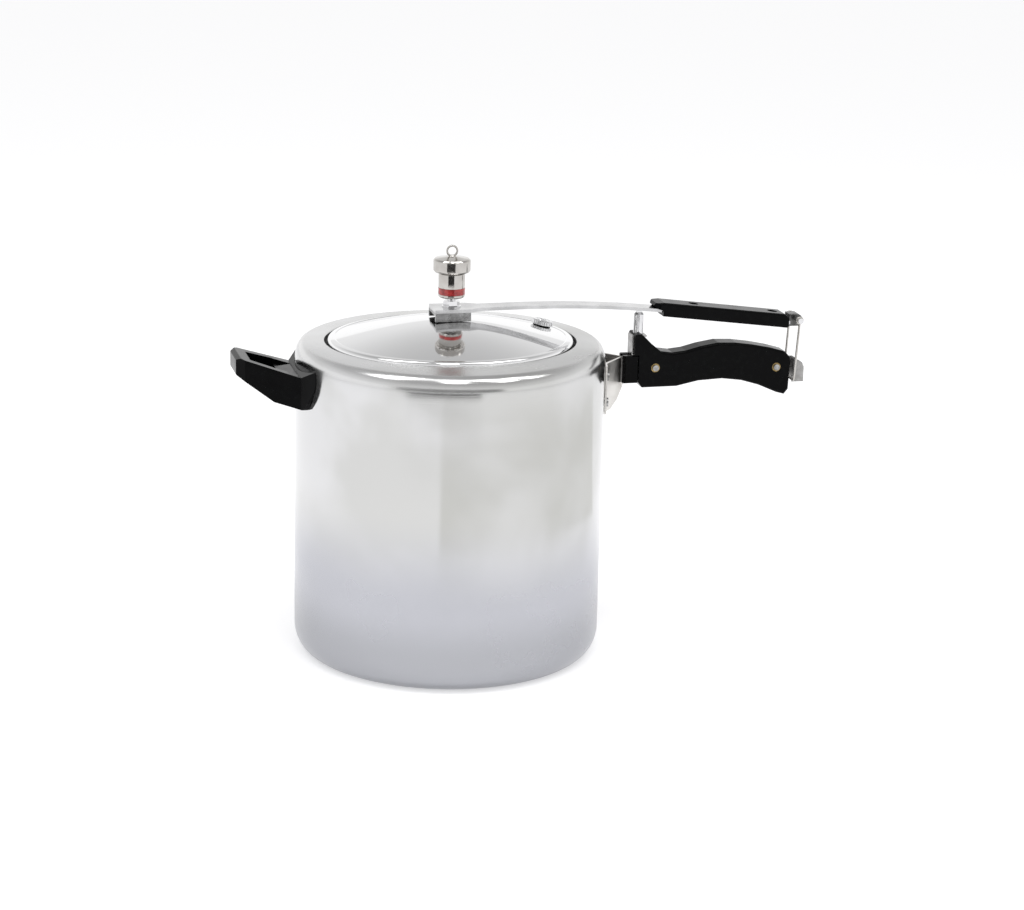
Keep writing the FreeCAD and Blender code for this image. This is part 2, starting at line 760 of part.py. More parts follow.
    nut = hexagon("helper_nut_blank", 10.0, 4.0, x="-pot_radius + pot_wall + 0.35", z=HELPER_AXIS, turn=ALONG_X)
    nut_bore = cylinder("helper_nut_bore", 3.02, 8, x="-pot_radius + pot_wall - 1", z=HELPER_AXIS, turn=ALONG_X)
    sub_part(cut("helper_nut_solid", nut, nut_bore), "helper_nut")


# ---------------------------------------------------------------- lid


def lid_cone(name, z):
    """The lid's outer slope: a wide frustum that ends in the bridge's plateau."""
    return cone(name, "lid_base_radius", "plateau_radius", "boss_top - lid_base", z=z)


def make_lid():
    """Oval lid: a sloping panel, a skirt through the mouth and a flange below the crown."""
    long_semi = "(mouth_long - lid_gap)"
    short_semi = "(mouth_short - lid_gap)"
    inside = (long_semi + " - lid_thick", short_semi + " - lid_thick")
    foot = "flange_top - lid_thick"
    above = "boss_top + 2"
    slope = cut("panel_slope", lid_cone("panel_outer", "lid_base"), lid_cone("panel_inner", "lid_base - lid_thick"))
    panel = common("panel", slope, oval("panel_trim", long_semi, short_semi, foot, above))
    wall = cut("skirt_ring", oval("skirt_outer", long_semi, short_semi, foot, above),
               oval("skirt_inner", *inside, foot + " - 1", above + " + 1"))
    below = cylinder("skirt_below", "lid_base_radius", 20, z="lid_base - 20")
    skirt = common("skirt", wall, fuse("skirt_limit", lid_cone("skirt_slope", "lid_base"), below))
    rim = cut("rim_ring", oval("rim_outer", "mouth_long + lid_overlap", "mouth_short + lid_overlap", foot, "flange_top"),
              oval("rim_inner", *inside, foot + " - 1", "flange_top + 1"))
    boss = cylinder("lid_boss", "boss_radius", "boss_top - boss_under", z="boss_under")
    stem = cylinder("lid_stem_hole", "stem_thread + 0.05", 30, z="boss_under - 10")
    valve = tilted(cylinder("lid_valve_hole", 5.05, 30), -15)
    pads = tilted(cylinder("lid_valve_pad", 11.0, 4.4), -4.2)
    shell = fuse("lid_shell", panel, skirt, rim, boss, pads)
    sub_part(cut("lid_bored", shell, fuse("lid_holes", stem, valve)), "lid_plate")


def tilted(thing, along):
    """Stand a piece on the safety valve's sloping axis, a distance along it."""
    tilt = math.radians(cell("valve_tilt"))
    thing.Placement = FreeCAD.Placement(
        FreeCAD.Vector(), FreeCAD.Rotation(FreeCAD.Vector(0, 1, 0), cell("valve_tilt")))
    return bind(
        thing,
        Placement__Base__x="valve_x + %.5f * (%s)" % (math.sin(tilt), along),
        Placement__Base__y="valve_y",
        Placement__Base__z="valve_z + %.5f * (%s)" % (math.cos(tilt), along),
    )


def make_gasket():
    """Rubber ring between the lid's flange and the crown."""
    outer = oval("gasket_outer", "mouth_long + lid_overlap - 0.5", "mouth_short + lid_overlap - 0.5",
                 "flange_top", "crown_top - crown_thick - gasket_clear")
    inner = oval("gasket_inner", "mouth_long - lid_gap + 0.4", "mouth_short - lid_gap + 0.4",
                 "flange_top - 1", "crown_top")
    sub_part(cut("gasket_solid", outer, inner), "lid_gasket")


def make_safety_valve():
    """Safety valve: round head on a seal, a fusible plug in its bore and a nut below."""
    head = tilted(cylinder("valve_head", "valve_radius", 4.9), 1.2)
    barrel = tilted(cylinder("valve_barrel", 5.0, 14.2), -12)
    crown = tilted(cylinder("valve_crown", 6.5, 0.7), 6.0)
    bore = tilted(cylinder("valve_bore", 3.0, 40), -20)
    sub_part(cut("valve_solid", fuse("valve_blank", head, barrel, crown), bore), "safety_valve_body")
    sub_part(tilted(cylinder("valve_plug", 2.95, 13.2), -7), "safety_valve_plug")
    seal = cut("valve_seal_solid", tilted(cylinder("valve_seal_disc", 8.0, 0.9), 0.25),
               tilted(cylinder("valve_seal_eye", 5.05, 4), -1))
    sub_part(seal, "safety_valve_seal")
    nut = cut("valve_nut_solid", tilted(hexagon("valve_nut_blank", "valve_nut_flats", 4.5), -9.2),
              tilted(cylinder("valve_nut_bore", 5.02, 8), -11))
    sub_part(nut, "safety_valve_nut")


def make_bridge():
    """Channel that stands on the lid's boss and carries the lid bar."""
    body = new_body("bridge_blank")
    section = [
        ("-bar_end_width / 2", "boss_top"),
        ("-bar_end_width / 2 + bridge_wall", "boss_top"),
        ("-bar_end_width / 2 + bridge_wall", "bar_seat - bridge_wall"),
        ("bar_end_width / 2 - bridge_wall", "bar_seat - bridge_wall"),
        ("bar_end_width / 2 - bridge_wall", "boss_top"),
        ("bar_end_width / 2", "boss_top"),
        ("bar_end_width / 2", "bar_seat"),
        ("-bar_end_width / 2", "bar_seat"),
    ]
    pad(body, sketch(body, "bridge_section", "YZ_Plane", [section], offset="bar_back"), "bridge_front - bar_back")
    hole = [("0", "0", "stem_thread + 0.05")]
    pocket(body, sketch(body, "bridge_hole", "XY_Plane", [], offset="boss_top", rounds=hole), "20", backward=True)
    sub_part(body, "lid_bridge")


def bar_points(lift):
    """Side outline of the bar's arch at a height above its underside."""
    start = cell("bar_bend_start")
    run = cell("bar_bend_end") - start
    slope = math.radians(cell("bar_slope"))
    radius = run / math.sin(slope)
    rise = cell("bar_seat") + lift
    points = [(cell("bar_back"), rise), (start - 45, rise)]
    steps = 6
    for i in range(steps + 1):
        angle = slope * i / steps
        x = start + radius * math.sin(angle)
        points.append((x, rise + 0.4 - radius * (1 - math.cos(angle))))
    end = cell("bar_tip")
    last_x, last_z = points[-1]
    points.append((end, last_z - (end - last_x) * math.tan(slope)))
    return points


def bar_height(x, lift=0.0):
    """Height of the bar at a distance from the lid's centre."""
    points = bar_points(lift)
    for (x0, z0), (x1, z1) in zip(points, points[1:]):
        if x0 <= x <= x1:
            return z0 + (z1 - z0) * (x - x0) / (x1 - x0)
    raise ValueError(x)


def make_bar():
    """Sprung steel bar: a broad seat on the bridge, then a gentle arch into the lid handle."""
    body = new_body("bar_blank")
    outline = bar_points(0) + list(reversed(bar_points(cell("bar_thick"))))
    side = [(str(round(x, 3)), str(round(z, 3))) for x, z in outline]
    pad(body, sketch(body, "bar_side", "XZ_Plane", [side]), "bar_end_width", middle=True)
    for label, sign in (("near", -1), ("far", 1)):
        waist = [
            ("bridge_front", "%d * bar_end_width / 2" % sign),
            ("bridge_front + 11", "%d * bar_width / 2" % sign),
            ("bar_tip + 2", "%d * bar_width / 2" % sign),
            ("bar_tip + 2", "%d * (bar_end_width / 2 + 2)" % sign),
            ("bridge_front", "%d * (bar_end_width / 2 + 2)" % sign),
        ]
        pocket(body, sketch(body, "bar_waist_" + label, "XY_Plane", [waist], offset="280"), "60", backward=True)
    holes = [
        ("0", "0", "stem_thread + 0.05"),
        ("screw_near", "0", "2.1"),
        ("screw_far", "0", "2.1"),
    ]
    pocket(body, sketch(body, "bar_holes", "XY_Plane", [], offset="280", rounds=holes), "60", backward=True)
    sub_part(body, "lid_bar")


def make_vent():
    """Vent stem with its head under the lid, a seal, a washer and the clamping nut."""
    head = cylinder("stem_head", 10.0, 3.5, z="boss_under - 1.05 - 3.5")
    barrel = cylinder("stem_barrel", "stem_thread", "bar_seat + bar_thick + 5.8 - boss_under + 1.05",
                      z="boss_under - 1.05")
    spout = cylinder("stem_spout", "stem_radius", "stem_top - bar_seat - bar_thick - 5.8",
                     z="bar_seat + bar_thick + 5.8")
    tip = cone("stem_tip", "stem_radius", "stem_radius - 1.6", 2.2, z="stem_top")
    bore = cylinder("stem_bore", "vent_bore", 80, z="boss_under - 10")
    sub_part(cut("stem_solid", fuse("stem_blank", head, barrel, spout, tip), bore), "vent_stem")

    seal = cut("stem_seal_solid", cylinder("stem_seal_disc", 9.0, 1.0, z="boss_under - 1.0"),
               cylinder("stem_seal_eye", "stem_thread + 0.05", 4, z="boss_under - 2"))
    sub_part(seal, "vent_stem_seal")
    washer = cut("vent_washer_solid", cylinder("vent_washer_disc", 8.5, 1.0, z="bar_seat + bar_thick + 0.02"),
                 cylinder("vent_washer_eye", "stem_thread + 0.05", 4, z="bar_seat + bar_thick - 1"))
    sub_part(washer, "vent_washer")
    nut = cut("vent_nut_solid", hexagon("vent_nut_blank", "nut_flats", 4.7, z="bar_seat + bar_thick + 1.05"),
              cylinder("vent_nut_bore", "stem_thread + 0.02", 10, z="bar_seat + bar_thick - 1"))
    sub_part(nut, "vent_nut")


def make_weight():
    """Regulator weight: body with a seat for the stem, cap, colour band and finger ring."""
    body = new_body("weight_blank")
    groove = "weight_radius - 0.8"
    profile = [
        ("0", "stem_top + 3.6"),
        ("stem_radius - 1", "stem_top + 2.7"),
        ("stem_radius + 0.5", "stem_top + 0.6"),
        ("stem_radius + 0.5", "weight_base"),
        ("weight_radius - 0.8", "weight_base"),
        ("weight_radius", "weight_base + 0.8"),
        ("weight_radius", "band_base"),
        (groove, "band_base"),
        (groove, "band_top"),
        ("weight_radius", "band_top"),
        ("weight_radius", "cap_base + 2"),
        ("0", "cap_base + 2"),
    ]
    revolve(body, sketch(body, "weight_profile", "XZ_Plane", [profile]))
    sub_part(body, "weight_body")

    cap = new_body("cap_blank")
    outline = [
        ("0", "cap_base + 2"),
        ("weight_radius + 0.05", "cap_base + 2"),
        ("weight_radius + 0.05", "cap_base"),
        ("cap_radius", "cap_base"),
        ("cap_radius", "cap_top - 1.6"),
        ("cap_radius - 1.2", "cap_top - 0.4"),
        ("5", "cap_top + 0.8"),
        ("2", "ring_height - ring_mean - 0.2"),
        ("0", "ring_height - ring_mean - 0.2"),
    ]
    revolve(cap, sketch(cap, "cap_profile", "XZ_Plane", [outline]))
    sub_part(cap, "weight_cap")

    band = cut("band_solid", cylinder("band_outer", "weight_radius + 0.15", "band_top - band_base", z="band_base"),
               cylinder("band_inner", "weight_radius - 0.8", 20, z="band_base - 5"))
    sub_part(band, "weight_band")
    ring = torus("finger_ring", "ring_mean", "ring_wire", z="ring_height", turn=ALONG_Y)
    foot = cylinder("ring_foot", 2.4, "ring_height - ring_mean - 0.2 - cap_top + 5", z="cap_top - 5")
    sub_part(cut("ring_seated", ring, foot), "weight_ring")


# ---------------------------------------------------------------- lid handle and locking loop


def make_lid_handle():
    """Moulded cover over the bar's tail, screwed down through two recesses."""
    body = new_body("lid_grip_blank")
    front = cell("lid_grip_front")
    back = cell("grip_back")
    low = -3.2
    high = cell("lid_grip_thick") + low
    start, end = bar_height(front + 17), bar_height(back)
    slope = (end - start) / (back - front - 17)

    def level(x, lift):
        """A corner at a height above the bar's underside, which runs straight here."""
        return str(round(x, 3)), str(round(start + (x - front - 17) * slope + lift, 3))

    side = [
        level(front + 8, low),
        level(back - 1.5, low),
        level(back, low + 1.5),
        level(back, high - 3),
        level(back - 4, high),
        level(front + 9, high),
        level(front + 1.5, high - 1.2),
        level(front, high - 4),
        level(front + 3, high - 6.5),
        level(front + 8, high - 7),
    ]
    pad(body, sketch(body, "lid_grip_side", "XZ_Plane", [side]), "lid_grip_width", middle=True)
    nose = [
        ("lid_grip_front - 1", "lid_grip_width / 2 + 1"),
        ("lid_grip_front - 1", "lid_grip_width / 2 - 6"),
        ("lid_grip_front + 6", "lid_grip_width / 2 + 1"),
    ]
    mirrored = [(x, "-(%s)" % y) for x, y in nose]
    pocket(body, sketch(body, "lid_grip_nose", "XY_Plane", [nose, mirrored], offset="280"), "60", backward=True)
    half = cell("lid_grip_width") / 2
    smooth(body, 1.8, lambda edge: at_side(half)(edge) and edge.CenterOfMass.z > level_value(edge, start, slope, front))
    for x in ("screw_near", "screw_far"):
        floor = round(bar_height(cell(x)) + 4.8, 3)
        drawing = sketch(body, "recess_" + x, "XY_Plane", [], offset=floor, rounds=[(x, "0", "4.6")])
        pocket(body, drawing, "20", backward=True)
    bores = [(x, "0", "2.1") for x in ("screw_near", "screw_far")]
    pocket(body, sketch(body, "lid_grip_bores", "XY_Plane", [], offset="280", rounds=bores), "60", backward=True)
    channel = fuse("bar_channel", *bar_clearance())
    sub_part(cut("lid_grip_solid", body, channel), "lid_handle")

    screws, nuts = [], []
    for label, x in (("near", "screw_near"), ("far", "screw_far")):
        middle = bar_height(cell(x))
        shank = cylinder("lid_screw_shank_" + label, 2.0, 10.6, x=x, z=round(middle - 4.6, 3))
        head = cylinder("lid_screw_head_" + label, 3.9, 2.0, x=x, z=round(middle + 4.85, 3))
        screws.append(fuse("lid_screw_" + label, shank, head))
        nut = hexagon("lid_nut_blank_" + label, 7.0, 3.0, x=x, z=round(middle - 4.2, 3))
        bore = cylinder("lid_nut_bore_" + label, 2.02, 8, x=x, z=round(middle - 7, 3))
        nuts.append(cut("lid_nut_" + label, nut, bore))
    sub_part(group("lid_screws", *screws), "lid_handle_screws")
    sub_part(group("lid_nuts", *nuts), "lid_handle_nuts")


def level_value(edge, start, slope, front):
    """The height of the bar's underside below an edge's middle."""
    return start + (edge.CenterOfMass.x - front - 17) * slope + 3


def bar_clearance():
    """The bar's tail with a hair of room all round, and an open way down to the nuts."""
    x0, x1 = cell("bar_bend_end") - 25, cell("bar_tip") + 5
    slope = math.atan2(bar_height(cell("bar_tip")) - bar_height(x0 + 25), cell("bar_tip") - x0 - 25)
    room = 0.1
    length = (x1 - x0) / math.cos(slope)
    tail = doc.addObject("Part::Box", "bar_room")
    tail.Length = length
    bind(tail, Width="bar_width + 2 * %s" % room, Height="bar_thick + 2 * %s + 0.5" % room)
    z0 = bar_height(x0 + 25) - 25 * math.tan(slope)
    tail.Placement = FreeCAD.Placement(
        FreeCAD.Vector(x0, -(cell("bar_width") / 2 + room), z0 - room),
        FreeCAD.Rotation(FreeCAD.Vector(0, 1, 0), -math.degrees(slope)))
    wells = []
    for label, x in (("near", "screw_near"), ("far", "screw_far")):
        wells.append(cylinder("nut_well_" + label, 4.6, 8, x=x, z=round(bar_height(cell(x)) - 8, 3)))
    return [tail] + wells


def make_end_lug():
    """Lug on the bar's tip with the bore for the loop's pin."""
    body = new_body("lug_blank")
    side = [
        ("bar_tip + 0.05", "pivot_z - 6.5"),
        ("pivot_x + 1.5", "pivot_z - 6.5"),
        ("pivot_x + 4.2", "pivot_z - 3"),
        ("pivot_x + 4.2", "pivot_z + 2.5"),
        ("pivot_x + 1.5", "pivot_z + 4.5"),
        ("bar_tip + 0.05", "pivot_z + 4.5"),
    ]
    pad(body, sketch(body, "lug_side", "XZ_Plane", [side]), "13", middle=True)
    hole = [("pivot_x", "pivot_z", "pin_radius + 0.02")]
    pocket(body, sketch(body, "lug_hole", "XZ_Plane", [], rounds=hole), "20", middle=True)
    sub_part(body, "bar_end_lug")

    length = "2 * loop_half + 5"
    shaft = cylinder("pin_shaft", "pin_radius", length, x="pivot_x", y="-loop_half - 2.5", z="pivot_z", turn=ALONG_Y)
    heads = [
        cylinder("pin_head_near", 2.6, 1.0, x="pivot_x", y="-loop_half - 3.4", z="pivot_z", turn=ALONG_Y),
        cylinder("pin_head_far", 2.6, 1.0, x="pivot_x", y="loop_half + 2.4", z="pivot_z", turn=ALONG_Y),
    ]
    sub_part(fuse("pin_solid", shaft, *heads), "loop_pin")


def make_loop():
    """Wire loop: two eyes on the pin, two legs and a cross wire behind the body handle."""
    lean = math.radians(cell("loop_lean"))
    corner = 3.0
    pivot = FreeCAD.Vector(cell("pivot_x"), 0, cell("pivot_z"))
    down = FreeCAD.Vector(-math.sin(lean), 0, -math.cos(lean))
    across = FreeCAD.Vector(0, 1, 0)
    half, drop, wire = cell("loop_half"), cell("loop_drop"), cell("wire_radius")

    def spot(y, depth):
        return pivot + across * y + down * depth

    top = cell("eye_mean")
    knee = [spot(-half, drop - corner), spot(-half + corner, drop), spot(half - corner, drop), spot(half, drop - corner)]
    bulge = corner * (1 - math.sqrt(0.5))
    edges = [
        Part.LineSegment(spot(-half, top), knee[0]),
        Part.Arc(knee[0], spot(-half + bulge, drop - bulge), knee[1]),
        Part.LineSegment(knee[1], knee[2]),
        Part.Arc(knee[2], spot(half - bulge, drop - bulge), knee[3]),
        Part.LineSegment(knee[3], spot(half, top)),
    ]
    path = Part.Wire([edge.toShape() for edge in edges])
    circle = Part.Wire([Part.Circle(spot(-half, top), down, wire).toShape()])
    bent = path.makePipeShell([circle], True, True)
    eyes = [Part.makeTorus(cell("eye_mean"), wire, spot(side * half, 0), across) for side in (-1, 1)]
    loop = doc.addObject("Part::Feature", "loop_solid")
    loop.Shape = bent.fuse(eyes)
    sub_part(loop, "locking_loop")

    low = spot(0, drop)
    body = new_body("thumb_blank")
    front = round(low.x + 1.3, 3)
    back = round(low.x + 11, 3)
    plan = [
        (str(front), "-9"),
        (str(back), "-9"),
        (str(back), "9"),
        (str(front), "9"),
        (str(front), "7.6"),
        (str(back - 1.4), "7.6"),
        (str(back - 1.4), "-7.6"),
        (str(front), "-7.6"),
    ]
    base = round(low.z - 2.2, 3)
    crest = round(base + 20.7, 3)
    pad(body, sketch(body, "thumb_plan", "XY_Plane", [plan], offset=base), str(round(crest - base, 3)))
    corner_cut = [
        (str(back + 1), str(crest + 1)),
        (str(back - 6), str(crest + 1)),
        (str(back - 5.5), str(crest)),
        (str(back - 1.8), str(crest - 2.5)),
        (str(back), str(crest - 7)),
        (str(back + 1), str(crest - 7)),
    ]
    pocket(body, sketch(body, "thumb_corner", "XZ_Plane", [corner_cut]), "30", middle=True)
    ears = []
    for label, y in (("near", -9.0), ("far", 7.6)):
        ear = doc.addObject("Part::Box", "thumb_ear_" + label)
        ear.Length, ear.Width, ear.Height = 3.0, 1.4, 5.7
        ear.Placement.Base = FreeCAD.Vector(low.x - 0.2, y, base)
        ears.append(ear)
    rod = doc.addObject("Part::Cylinder", "thumb_rod")
    rod.Radius, rod.Height = wire, 30
    rod.Placement = FreeCAD.Placement(FreeCAD.Vector(low.x, -15, low.z), FreeCAD.Rotation(*ALONG_Y))
    sub_part(cut("thumb_solid", fuse("thumb_whole", body, *ears), rod), "loop_thumb_tab")


# ---------------------------------------------------------------- the whole canner

make_pot()
make_bracket_rivets()
make_bracket_wing(-1, "bracket_wing_near")
make_bracket_wing(1, "bracket_wing_far")
make_tang()
make_neck()
make_fulcrum()
make_body_handle()
make_helper_handle()
make_lid()
make_gasket()
make_safety_valve()
make_bridge()
make_bar()
make_vent()
make_weight()
make_lid_handle()
make_end_lug()
make_loop()
doc.recompute()

failed = [thing.Name for thing in doc.Objects if {"Invalid", "Error"} & set(thing.State)]
if failed:
    raise RuntimeError("features failed: %s" % ", ".join(failed))

os.makedirs("parts", exist_ok=True)
for part in PARTS:
    shape = part.Shape
    if shape.isNull() or not shape.isValid() or not shape.Solids:
        raise RuntimeError("%s has no valid solid" % part.Label)
    shape.exportStep("parts/%s.step" % part.Label)
    print("%-22s %2d solid(s) %12.1f mm3" % (part.Label, len(shape.Solids), shape.Volume))
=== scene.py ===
"""Looks of the inner-lid aluminium pressure canner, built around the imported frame.

Metres, +Z up, +X along the main handle, the pot's axis on Z.
"""

import json
import math

import bmesh
import bpy
from mathutils import Matrix, Vector, noise


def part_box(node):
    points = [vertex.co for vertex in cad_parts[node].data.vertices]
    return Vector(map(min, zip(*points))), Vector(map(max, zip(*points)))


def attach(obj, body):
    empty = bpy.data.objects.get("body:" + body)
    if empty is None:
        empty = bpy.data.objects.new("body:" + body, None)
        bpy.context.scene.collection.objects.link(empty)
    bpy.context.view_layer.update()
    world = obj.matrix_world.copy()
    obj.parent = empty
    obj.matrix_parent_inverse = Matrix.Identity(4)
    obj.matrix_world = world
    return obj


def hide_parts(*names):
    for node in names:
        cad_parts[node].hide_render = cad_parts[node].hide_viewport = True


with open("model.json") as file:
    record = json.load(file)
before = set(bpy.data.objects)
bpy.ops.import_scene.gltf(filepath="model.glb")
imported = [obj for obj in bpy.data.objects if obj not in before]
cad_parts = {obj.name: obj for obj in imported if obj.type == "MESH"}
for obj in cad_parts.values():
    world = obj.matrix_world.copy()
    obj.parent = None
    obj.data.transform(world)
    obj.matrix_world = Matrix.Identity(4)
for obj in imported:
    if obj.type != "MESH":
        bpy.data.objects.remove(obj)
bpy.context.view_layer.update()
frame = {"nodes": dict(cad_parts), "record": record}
MM = 0.001

# ---------------------------------------------------------------- camera

TURN = math.radians(-13.0)  # the row frame as seen from the camera's own axes
LENS = 92.0
SENSOR = 36.0
CAMERA_PLACE = (0.0, -2.29675, 0.82464)
CAMERA_YAW = 0.0251
CAMERA_PITCH = 0.2733
CAMERA_ROLL = 0.0242


def turned_to_row(x, y, z=0.0):
    """A vector given in the camera's upright axes, in the row frame."""
    return Vector((
        x * math.cos(TURN) - y * math.sin(TURN),
        x * math.sin(TURN) + y * math.cos(TURN),
        z,
    ))


def make_camera():
    """A long-lens camera a little above the pot, looking slightly down."""
    level = math.cos(CAMERA_PITCH)
    ahead = turned_to_row(
        math.sin(CAMERA_YAW) * level,
        math.cos(CAMERA_YAW) * level,
        -math.sin(CAMERA_PITCH),
    )
    right = turned_to_row(math.cos(CAMERA_YAW), -math.sin(CAMERA_YAW))
    up = right.cross(ahead)
    side = right * math.cos(CAMERA_ROLL) + up * math.sin(CAMERA_ROLL)
    top = up * math.cos(CAMERA_ROLL) - right * math.sin(CAMERA_ROLL)
    data = bpy.data.cameras.new("camera")
    data.lens = LENS
    data.sensor_width = SENSOR
    camera = bpy.data.objects.new("camera", data)
    camera.matrix_world = Matrix((
        (side.x, top.x, -ahead.x, 0),
        (side.y, top.y, -ahead.y, 0),
        (side.z, top.z, -ahead.z, 0),
        (0, 0, 0, 1),
    ))
    camera.location = turned_to_row(*CAMERA_PLACE)
    bpy.context.scene.collection.objects.link(camera)
    bpy.context.scene.camera = camera


make_camera()

# ---------------------------------------------------------------- materials


class Finish:
    """A node material round one Principled shader, with the few node groups used here."""

    def __init__(self, name, colour, metallic=0.0, **sockets):
        self.material = bpy.data.materials.new(name)
        self.material.use_nodes = True
        self.tree = self.material.node_tree
        self.shader = self.tree.nodes["Principled BSDF"]
        self.shader.inputs["Base Color"].default_value = (*colour, 1)
        self.shader.inputs["Metallic"].default_value = metallic
        for socket, value in sockets.items():
            self.shader.inputs[socket.replace("_", " ")].default_value = value
        self.place = self.node("ShaderNodeTexCoord").outputs["Object"]
        self.normal = None

    def node(self, kind, **values):
        made = self.tree.nodes.new(kind)
        for key, value in values.items():
            setattr(made, key, value)
        return made

    def link(self, source, target):
        self.tree.links.new(source, target)

    def stretched(self, scale, turn=(0, 0, 0)):
        """Object coordinates times a scale per axis."""
        mapping = self.node("ShaderNodeMapping")
        mapping.inputs["Scale"].default_value = scale
        mapping.inputs["Rotation"].default_value = turn
        self.link(self.place, mapping.inputs["Vector"])
        return mapping.outputs["Vector"]

    def noise(self, scale, detail=3.0, vector=None, rough=0.5, distortion=0.0):
        made = self.node("ShaderNodeTexNoise")
        made.inputs["Scale"].default_value = scale
        made.inputs["Detail"].default_value = detail
        made.inputs["Roughness"].default_value = rough
        made.inputs["Distortion"].default_value = distortion
        self.link(vector or self.place, made.inputs["Vector"])
        return made.outputs["Fac"]

    def ranged(self, source, low, high, start=0.3, end=0.7):
        """A source value between start and end, spread smoothly between low and high."""
        made = self.node("ShaderNodeMapRange", interpolation_type="SMOOTHSTEP")
        made.inputs["From Min"].default_value = start
        made.inputs["From Max"].default_value = end
        made.inputs["To Min"].default_value = low
        made.inputs["To Max"].default_value = high
        self.link(source, made.inputs["Value"])
        return made.outputs["Result"]

    def math(self, operation, first, second):
        made = self.node("ShaderNodeMath", operation=operation)
        for socket, value in zip(made.inputs, (first, second)):
            if isinstance(value, (int, float)):
                socket.default_value = value
            else:
                self.link(value, socket)
        return made.outputs[0]

    def height(self):
        parts = self.node("ShaderNodeSeparateXYZ")
        self.link(self.place, parts.inputs[0])
        return parts.outputs["Z"]

    def rings(self, pitch):
        """A vector that changes only with the distance from the Z axis, one step per pitch."""
        flat = self.stretched((1, 1, 0))
        length = self.node("ShaderNodeVectorMath", operation="LENGTH")
        self.link(flat, length.inputs[0])
        join = self.node("ShaderNodeCombineXYZ")
        self.link(self.math("MULTIPLY", length.outputs["Value"], 1.0 / pitch), join.inputs["X"])
        return join.outputs[0]

    def mixed(self, factor, first, second):
        """A colour between two colours, each a triple or a colour socket."""
        mix = self.node("ShaderNodeMix", data_type="RGBA")
        # the colour sockets of a Mix node are its seventh and eighth inputs
        for socket, colour in ((mix.inputs[6], first), (mix.inputs[7], second)):
            if isinstance(colour, tuple):
                socket.default_value = (*colour, 1)
            else:
                self.link(colour, socket)
        self.link(factor, mix.inputs[0])
        return mix.outputs[2]

    def tint(self, factor, first, second):
        """Base colour between two colours."""
        self.link(self.mixed(factor, first, second), self.shader.inputs["Base Color"])

    def roughness(self, source):
        self.link(source, self.shader.inputs["Roughness"])

    def bump(self, source, depth, strength=1.0):
        """Relief of a depth in metres, on top of the relief given before."""
        made = self.node("ShaderNodeBump")
        made.inputs["Strength"].default_value = strength
        made.inputs["Distance"].default_value = depth
        self.link(source, made.inputs["Height"])
        if self.normal:
            self.link(self.normal, made.inputs["Normal"])
        self.normal = made.outputs["Normal"]
        self.link(self.normal, self.shader.inputs["Normal"])


def pot_finish():
    """Polished wall with clouds of handling marks, a matt band below whose lilac-grey tint is a painted floor
    reflection, painted shade darkening the foot, and a softer crown.
    """
    f = Finish("pot_polished", (0.7, 0.7, 0.71), 1.0)
    band = f.noise(4.0, 2.0)
    line = f.math("ADD", f.height(), f.math("MULTIPLY", band, 0.06))
    # mask of the lower band: a real matt finish for the roughness, and a painted reflection of the floor for
    # the colour
    matt_band_and_floor_reflection = f.ranged(line, 1.0, 0.0, 0.11, 0.19)
    patches = f.ranged(f.noise(6.5, 3.0, rough=0.55, distortion=0.4), 0.0, 1.0, 0.38, 0.62)
    upper = f.mixed(patches, (0.57, 0.57, 0.56), (0.665, 0.665, 0.67))
    # painted shade: the wall gets darker towards the base corner, standing in for the shaded floor reflected
    # near the pot
    foot = f.ranged(f.height(), 0.0, 1.0, 0.03, 0.075)
    # the lower band's lilac-grey colours are a painted reflection of the floor
    f.tint(matt_band_and_floor_reflection, upper, f.mixed(foot, (0.4, 0.405, 0.43), (0.475, 0.48, 0.515)))
    clouds = f.noise(9.0, 4.0, rough=0.6)
    polish = f.ranged(clouds, 0.07, 0.16)
    matt = f.math("MULTIPLY", matt_band_and_floor_reflection, 0.14)
    shoulder = f.ranged(f.height(), 0.0, 0.08, 0.262, 0.274)
    crown = f.ranged(f.height(), 0.0, 0.08, 0.283, 0.2865)
    f.roughness(f.math("ADD", f.math("ADD", polish, matt), f.math("ADD", shoulder, crown)))
    f.bump(f.noise(14.0, 2.0), 0.0006, 0.35)
    lines = f.noise(1.0, 3.0, f.stretched((9, 9, 1500)))
    f.bump(lines, 0.00004, 0.3)
    return f.material


def lid_finish():
    """Mirror polish with faint spinning rings and wiping haze."""
    f = Finish("lid_mirror", (0.83, 0.83, 0.835), 1.0)
    f.roughness(f.ranged(f.noise(16.0, 5.0, rough=0.65), 0.03, 0.1))
    f.bump(f.noise(1.0, 2.0, f.rings(0.0012)), 0.00002, 0.25)
    f.bump(f.noise(18.0, 2.0), 0.0003, 0.12)
    return f.material


def sheet_finish():
    """Pressed steel sheet with a satin grain and faint water stains."""
    f = Finish("steel_satin", (0.62, 0.6, 0.58), 1.0)
    f.tint(f.ranged(f.noise(60.0, 4.0), 0.0, 1.0), (0.78, 0.76, 0.735), (0.68, 0.66, 0.635))
    f.roughness(f.ranged(f.noise(45.0, 5.0), 0.26, 0.42))
    f.bump(f.noise(1.0, 4.0, f.stretched((60, 60, 2200))), 0.00005, 0.3)
    return f.material


def chrome_finish():
    """Bright plating with pin-head pits and a little haze."""
    f = Finish("chrome_plate", (0.7, 0.7, 0.71), 1.0)
    f.tint(f.ranged(f.noise(90.0, 3.0), 0.0, 1.0), (0.66, 0.66, 0.67), (0.73, 0.73, 0.74))
    f.roughness(f.ranged(f.noise(120.0, 4.0), 0.04, 0.13))
    f.bump(f.noise(260.0, 3.0), 0.00005, 0.12)
    return f.material


